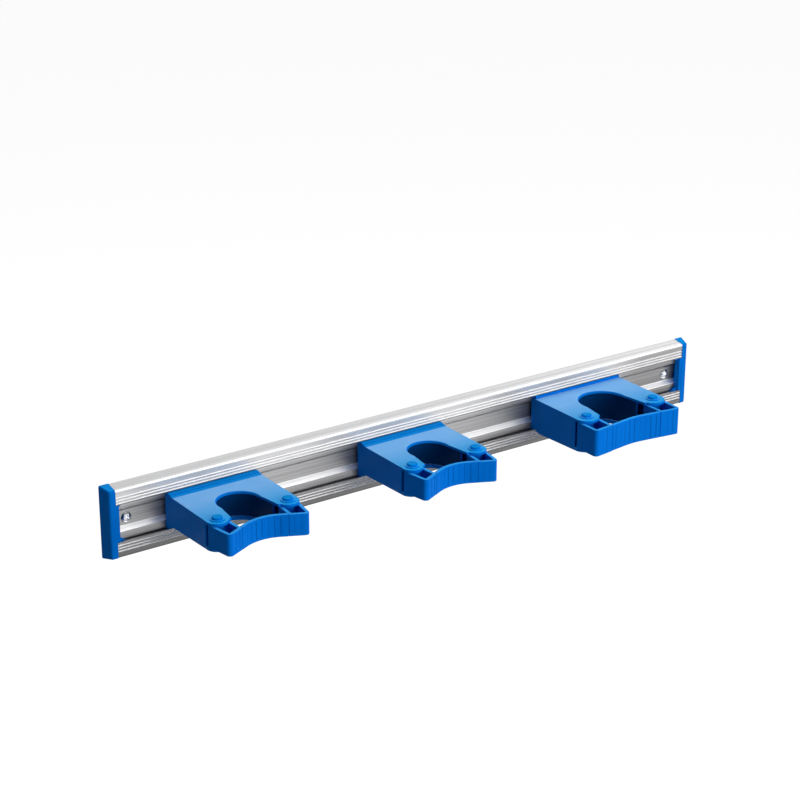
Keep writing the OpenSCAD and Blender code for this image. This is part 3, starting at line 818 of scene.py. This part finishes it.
class BuildWallScrews(bpy.types.Operator):
    """Wall screws: plated pan-head screws with their threads, at both ends of the rail"""
    bl_idname = "toolrail.wall_screws"
    bl_label = "Wall screws"

    def execute(self, context):
        settings = context.scene.rail
        finish = steel_finish(settings)
        core_share = 0.74
        ridge = model_thread(settings, settings.thread / 2 * core_share, finish)
        for side in SIDES:
            middle = middle_of(f"wall_screw_{side}")
            axis = (middle.x, 0, middle.z)
            piece = copy_node(f"wall_screw_{side}", f"screw_{side}", finish)
            bpy.ops.object.mode_set(mode="EDIT")
            edit_select(piece, verts=lambda v: v.co.y > 0.0)
            bpy.ops.transform.resize(value=(core_share, 1, core_share), center_override=axis)
            bpy.ops.object.mode_set(mode="OBJECT")
            round_edges(piece, SCREW_EDGE, segments=2)
            thread = twin(ridge, f"thread_{side}")
            thread.location = axis
            bpy.ops.object.transform_apply(location=True, rotation=False, scale=False)
            piece.select_set(True)
            context.view_layer.objects.active = piece
            bpy.ops.object.join()
            hand_over(piece, "rail", f"wall_screw_{side}")
        bpy.data.objects.remove(ridge)
        return {"FINISHED"}


class BuildShoes(bpy.types.Operator):
    """Shoes: the feet of the holders that slide behind the lips of the rail"""
    bl_idname = "toolrail.shoes"
    bl_label = "Shoes"

    def execute(self, context):
        for i in HOLDERS:
            piece = copy_node(f"shoe_{i}", f"slide_shoe_{i}", shoe_finish(context))
            round_edges(piece, context.scene.holder.housing_edge * SHOE_EDGE_SHARE)
            hand_over(piece, f"holder_{i}", f"shoe_{i}")
        return {"FINISHED"}


def widen_slots(piece, i, relief):
    """Sets the round ends of the side walls back, so that the slots behind the wings show well."""
    low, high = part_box(f"housing_{i}")
    wing_low, wing_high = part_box(f"wing_left_{i}")
    wall, least_faces = 0.0026, 4

    def on_wall_end(face, reach):
        place = face.calc_center_median()
        return (abs(face.normal.z) < UPRIGHT and wing_low.z < place.z < wing_high.z
                and place.y < reach and min(place.x - low.x, high.x - place.x) < wall)

    bpy.ops.object.mode_set(mode="EDIT")
    tip = min(face.calc_center_median().y for face in bmesh.from_edit_mesh(piece.data).faces
              if on_wall_end(face, 0))
    if edit_select(piece, faces=lambda face: on_wall_end(face, tip + wall / 2)) < least_faces:
        raise RuntimeError("the side walls' ends weren't found")
    bpy.ops.transform.translate(value=(0, relief, 0))
    bpy.ops.object.mode_set(mode="OBJECT")


def mark_deep_wall(piece, i):
    """Marks the wall round the handle opening, which stands back from the rims in their shade, for
    painted shade.
    """
    wing_low, wing_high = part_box(f"wing_left_{i}")
    middle = middle_of(f"housing_{i}")
    wall, inwards = 0.003, 0.7

    def share(face):
        place = face.center
        inward = Vector((middle.x - place.x, min(0.0, OPENING_Y[i] - place.y), 0))
        return float(
            wing_low.z < place.z < wing_high.z and abs(face.normal.z) < UPRIGHT
            and place.y > wing_high.y and inward.length < OPENING_R[i] + wall
            and face.normal.dot(inward) > inwards * inward.length)

    mark_faces(piece, share)


def on_rim(edge, height):
    """Whether an edge bounds the flat top at this height from outside."""
    if len(edge.link_faces) != 2 or not edge.is_convex:
        return False
    touch = 0.0001
    low, high = sorted(face.normal.z for face in edge.link_faces)
    return (high > FLAT and abs(low) < UPRIGHT
            and all(abs(v.co.z - height) < touch for v in edge.verts))


class BuildHousings(bpy.types.Operator):
    """Housings: the bodies of the holders with their round handle openings"""
    bl_idname = "toolrail.housings"
    bl_label = "Housings"

    def execute(self, context):
        settings = context.scene.holder
        for i in HOLDERS:
            piece = copy_node(f"housing_{i}", f"holder_body_{i}", body_finish(context))
            widen_slots(piece, i, settings.slot_relief)
            top = max((face.area, face.center.z) for face in piece.data.polygons
                      if face.normal.z > FLAT)[1]
            if not soften(piece, settings.rim_edge, lambda edge: on_rim(edge, top)):
                raise RuntimeError("no rim found on the top plate")
            round_edges(piece, settings.housing_edge)
            mark_deep_wall(piece, i)
            hand_over(piece, f"holder_{i}", f"housing_{i}")
        return {"FINISHED"}


def front_line(i):
    """The front of a holder's grip in plan: its middle, the radius and half width of its hollow,
    and its rearmost place, which lies one thickness in front of the strap's."""
    low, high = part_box(f"strap_{i}")
    return (low.x + high.x) / 2, HOLLOW_R[i], HOLLOW_HALF[i], high.y - STRAP_THICKNESS


def front_place(line, s):
    """Point and direction in plan at a distance along the grip's front from its middle."""
    middle, radius, half, y = line
    angle = math.asin(half / radius)
    bend = max(-angle, min(angle, s / radius))
    run = abs(s) - radius * angle
    x = radius * math.sin(bend)
    back = y - radius + radius * math.cos(bend)
    if run > 0:
        x += math.copysign(run * math.cos(angle), s)
        back -= run * math.sin(angle)
    return Vector((middle + x, back, 0)), Vector((math.cos(bend), -math.sin(bend), 0))


def front_distance(line, point):
    """Signed distance of a point in plan behind the grip's front, and its place along it."""
    middle, radius, half, y = line
    angle = math.asin(half / radius)
    x = point.x - middle
    centre = y - radius
    if abs(x) * math.cos(angle) <= (point.y - centre) * math.sin(angle):
        s = radius * math.atan2(x, point.y - centre)
        return math.hypot(x, point.y - centre) - radius, s
    place, way = front_place(line, math.copysign(radius * angle, x))
    offset = Vector((point.x, point.y, 0)) - place
    gap = offset.dot(Vector((-way.y, way.x, 0)))
    return gap, math.copysign(radius * angle, x) + offset.dot(way)


def groove_layout(i, grip):
    """Front of a holder's grip, distance between its grooves, and their lower and upper ends."""
    pitch = grip.large_pitch if i == 3 else grip.small_pitch
    low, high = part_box(f"strap_{i}")
    return front_line(i), pitch, low.z + GROOVE_MARGIN, high.z - GROOVE_MARGIN


def cut_grooves(piece, i, grip):
    """Cuts the upright grooves into the front of a wing or strap, between its two edges."""
    line, pitch, bottom, top = groove_layout(i, grip)
    touch, forward, most, slope, shallow_share = 0.00012, 0.5, 10, 0.34, 0.55
    half = grip.groove_width / 2
    clear = 3 * half
    pick(piece)
    bpy.ops.object.mode_set(mode="EDIT")

    def on_front(face):
        gap, _ = front_distance(line, face.calc_center_median())
        return abs(gap) < touch and face.normal.y < -forward

    spots = [front_distance(line, v.co)[1] for face in bmesh.from_edit_mesh(piece.data).faces
             if on_front(face) for v in face.verts]
    first, last = min(spots), max(spots)
    for z in (bottom, top):
        edit_select(piece, faces=on_front)
        bpy.ops.mesh.bisect(plane_co=(0, 0, z), plane_no=(0, 0, 1))
    places = {n: n * pitch for n in range(-most, most + 1)
              if first + clear < n * pitch < last - clear}
    for s in places.values():
        for edge in (s - half, s + half):
            place, way = front_place(line, edge)
            edit_select(piece, faces=on_front)
            bpy.ops.mesh.bisect(plane_co=place, plane_no=way)

    def in_groove(face, chosen):
        centre = face.calc_center_median()
        _, s = front_distance(line, centre)
        return (on_front(face) and bottom < centre.z < top
                and any(abs(s - place) < half for place in chosen))

    for odd, share in ((0, 1.0), (1, shallow_share)):
        chosen = [s for n, s in places.items() if n % 2 == odd]
        if edit_select(piece, faces=lambda face: in_groove(face, chosen)):
            bpy.ops.mesh.inset(
                thickness=grip.groove_width * slope, depth=-grip.groove_depth * share)
    bpy.ops.object.mode_set(mode="OBJECT")


def mark_grooves(piece, i, grip):
    """Marks the upright grooves for painted shade, some more than others."""
    line, pitch, bottom, top = groove_layout(i, grip)
    least, change, step, first = 0.04, 0.38, 2.4, 1

    def share(face):
        gap, s = front_distance(line, face.center)
        n = round(s / pitch)
        sunk = (abs(gap) < 2 * grip.groove_depth and face.normal.y < -UPRIGHT
                and abs(s - n * pitch) < grip.groove_width / 2 and bottom < face.center.z < top)
        return least + change * math.sin(step * n + first) ** 2 if sunk else 0.0

    mark_faces(piece, share)


class BuildWings(bpy.types.Operator):
    """Wings: the hollow blocks that turn on the pins and close round a handle"""
    bl_idname = "toolrail.wings"
    bl_label = "Wings"

    def execute(self, context):
        grip = context.scene.grip
        for i in HOLDERS:
            for side in SIDES:
                piece = copy_node(f"wing_{side}_{i}", f"grip_wing_{side}_{i}", grip_finish(context))
                cut_grooves(piece, i, grip)
                round_edges(piece, grip.wing_edge, limit=55)
                mark_grooves(piece, i, grip)
                hand_over(piece, f"{side}_wing_{i}", f"wing_{side}_{i}")
        return {"FINISHED"}


class BuildStraps(bpy.types.Operator):
    """Straps: the grooved bands between the wings, each cut into a left and a right half"""
    bl_idname = "toolrail.straps"
    bl_label = "Straps"

    def execute(self, context):
        grip = context.scene.grip
        for i in HOLDERS:
            whole = copy_node(f"strap_{i}", f"strap_whole_{i}", grip_finish(context))
            cut_grooves(whole, i, grip)
            round_edges(whole, grip.wing_edge * STRAP_EDGE_SHARE, limit=55)
            mark_grooves(whole, i, grip)
            middle = front_line(i)[0]
            for side, sign in SIDES.items():
                half = twin(whole, f"strap_{side}_{i}")
                bpy.ops.object.mode_set(mode="EDIT")
                bpy.ops.mesh.select_all(action="SELECT")
                bpy.ops.mesh.bisect(
                    plane_co=(middle, 0, 0), plane_no=(sign, 0, 0), use_fill=True, clear_inner=True)
                bpy.ops.object.mode_set(mode="OBJECT")
                smooth(half)
                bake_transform(half)
                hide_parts(f"strap_{i}")
            bpy.data.objects.remove(whole)
        return {"FINISHED"}


class BuildHingePins(bpy.types.Operator):
    """Hinge pins: the round-headed pins on the ears"""
    bl_idname = "toolrail.hinge_pins"
    bl_label = "Hinge pins"

    def execute(self, context):
        for i in HOLDERS:
            for side in SIDES:
                piece = copy_node(f"hinge_pin_{side}_{i}", f"pin_{side}_{i}", pin_finish(context))
                round_edges(piece, PIN_EDGE, segments=2, limit=50)
                hand_over(piece, f"holder_{i}", f"hinge_pin_{side}_{i}")
        return {"FINISHED"}


class BuildShoeScrews(bpy.types.Operator):
    """Shoe screws: the countersunk screws that hold each housing on its shoe"""
    bl_idname = "toolrail.shoe_screws"
    bl_label = "Shoe screws"

    def execute(self, context):
        for i in HOLDERS:
            dress_node(f"shoe_screws_{i}", steel_finish(context.scene.rail))
        return {"FINISHED"}


# Stage

def seen_directly(tree):
    """1 for camera, glossy and transmission rays."""
    path = add_node(tree, "ShaderNodeLightPath").outputs
    seen = maths(tree, "MAXIMUM", path["Is Camera Ray"], path["Is Glossy Ray"])
    return maths(tree, "MAXIMUM", seen, path["Is Transmission Ray"])


def mix_shaders(tree, factor, first, second):
    inputs = {0: factor, 1: first.outputs[0], 2: second.outputs[0]}
    return add_node(tree, "ShaderNodeMixShader", inputs).outputs[0]


def white_room(context):
    """World light: soft from overhead, and plain white for the camera and in reflections."""
    world = bpy.data.worlds.new("studio")
    context.scene.world = world
    world.use_nodes = True
    tree = world.node_tree
    tree.nodes.clear()
    around = add_node(tree, "ShaderNodeTexCoord").outputs["Generated"]
    overhead = maths(tree, "MAXIMUM", split(tree, around)["Z"], LEAST_LIGHT)
    strength = product(tree, overhead, context.scene.stage.room)
    light = add_node(tree, "ShaderNodeBackground", {"Color": SKY, "Strength": strength})
    white = add_node(tree, "ShaderNodeBackground", {"Color": (1.0, 1.0, 1.0), "Strength": 1.0})
    both = mix_shaders(tree, seen_directly(tree), light, white)
    add_node(tree, "ShaderNodeOutputWorld", {"Surface": both})


def floor_finish(context):
    """Plain pale floor that reads as white, keeps the shadow and can't be seen from below."""
    material = bpy.data.materials.new("pale_floor")
    material.use_nodes = True
    tree = material.node_tree
    tree.nodes.clear()
    matt = add_node(tree, "ShaderNodeBsdfDiffuse", {"Color": tuple(context.scene.stage.floor)})
    strength = product(tree, seen_directly(tree), FLOOR_GLOW)
    glow = add_node(tree, "ShaderNodeEmission", {"Strength": strength})
    both = add_node(tree, "ShaderNodeAddShader", {0: matt.outputs[0], 1: glow.outputs[0]})
    clear = add_node(tree, "ShaderNodeBsdfTransparent")
    below = add_node(tree, "ShaderNodeNewGeometry").outputs["Backfacing"]
    surface = mix_shaders(tree, below, both, clear)
    add_node(tree, "ShaderNodeOutputMaterial", {"Surface": surface})
    return material


def add_softbox(name, place, size, power):
    """A large area light that looks at the middle of the product."""
    turn = (Vector(PRODUCT_MIDDLE) - Vector(place)).to_track_quat("-Z", "Y").to_euler()
    bpy.ops.object.light_add(type="AREA", location=place, rotation=turn)
    lamp = bpy.context.object
    lamp.name = name
    lamp.data.shape = "RECTANGLE"
    lamp.data.size, lamp.data.size_y = size
    lamp.data.energy = power


class BuildStage(bpy.types.Operator):
    """Stage: pale floor, soft light and the camera"""
    bl_idname = "toolrail.stage"
    bl_label = "Stage"

    def execute(self, context):
        stage = context.scene.stage
        bpy.ops.object.select_all(action="DESELECT")
        bpy.ops.mesh.primitive_plane_add(size=FLOOR_SIZE, location=(0, 0, -stage.drop))
        floor = context.object
        floor.name = "floor"
        bpy.ops.object.transform_apply(location=True, rotation=True, scale=True)
        floor.data.materials.append(floor_finish(context))
        white_room(context)
        for name, (place, size) in SOFTBOXES.items():
            add_softbox(name, place, size, getattr(stage, name))
        turn = Matrix.Identity(3)
        for axis, degrees in CAMERA_TURNS:
            turn = turn @ Matrix.Rotation(math.radians(degrees), 3, axis)
        bpy.ops.object.camera_add(location=CAMERA_PLACE, rotation=turn.to_euler())
        camera = context.object
        camera.name = "camera"
        camera.data.sensor_width = SENSOR
        camera.data.lens = LENS
        context.scene.camera = camera
        context.scene.view_settings.view_transform = "Standard"
        return {"FINISHED"}


STEPS = (BuildStage, BuildRail, BuildEndCaps, BuildWallScrews, BuildShoes, BuildHousings,
         BuildWings, BuildStraps, BuildHingePins, BuildShoeScrews)
SETTINGS = {
    "rail": RailSettings, "holder": HolderSettings, "grip": GripSettings, "stage": StageSettings}


class ToolRailPanel(bpy.types.Panel):
    """Lists the steps that build the tool holder rail, and their sizes and colours"""
    bl_idname = "VIEW3D_PT_tool_rail"
    bl_label = "Tool holder rail"
    bl_space_type = "VIEW_3D"
    bl_region_type = "UI"
    bl_category = "Tool Rail"

    def draw(self, context):
        for step in STEPS:
            self.layout.operator(step.bl_idname)
        for name, group in SETTINGS.items():
            box = self.layout.box()
            for label in group.__annotations__:
                box.prop(getattr(context.scene, name), label)


def register():
    for group in SETTINGS.values():
        bpy.utils.register_class(group)
    for name, group in SETTINGS.items():
        setattr(bpy.types.Scene, name, PointerProperty(type=group))
    for kind in (*STEPS, ToolRailPanel):
        bpy.utils.register_class(kind)


def unregister():
    for kind in (ToolRailPanel, *reversed(STEPS)):
        bpy.utils.unregister_class(kind)
    for name in SETTINGS:
        delattr(bpy.types.Scene, name)
    for group in SETTINGS.values():
        bpy.utils.unregister_class(group)


def main():
    register()
    for step in STEPS:
        name = step.bl_idname.split(".")[1]
        if getattr(bpy.ops.toolrail, name)() != {"FINISHED"}:
            raise RuntimeError(f"step {name} did not finish")


if __name__ == "__main__":
    main()
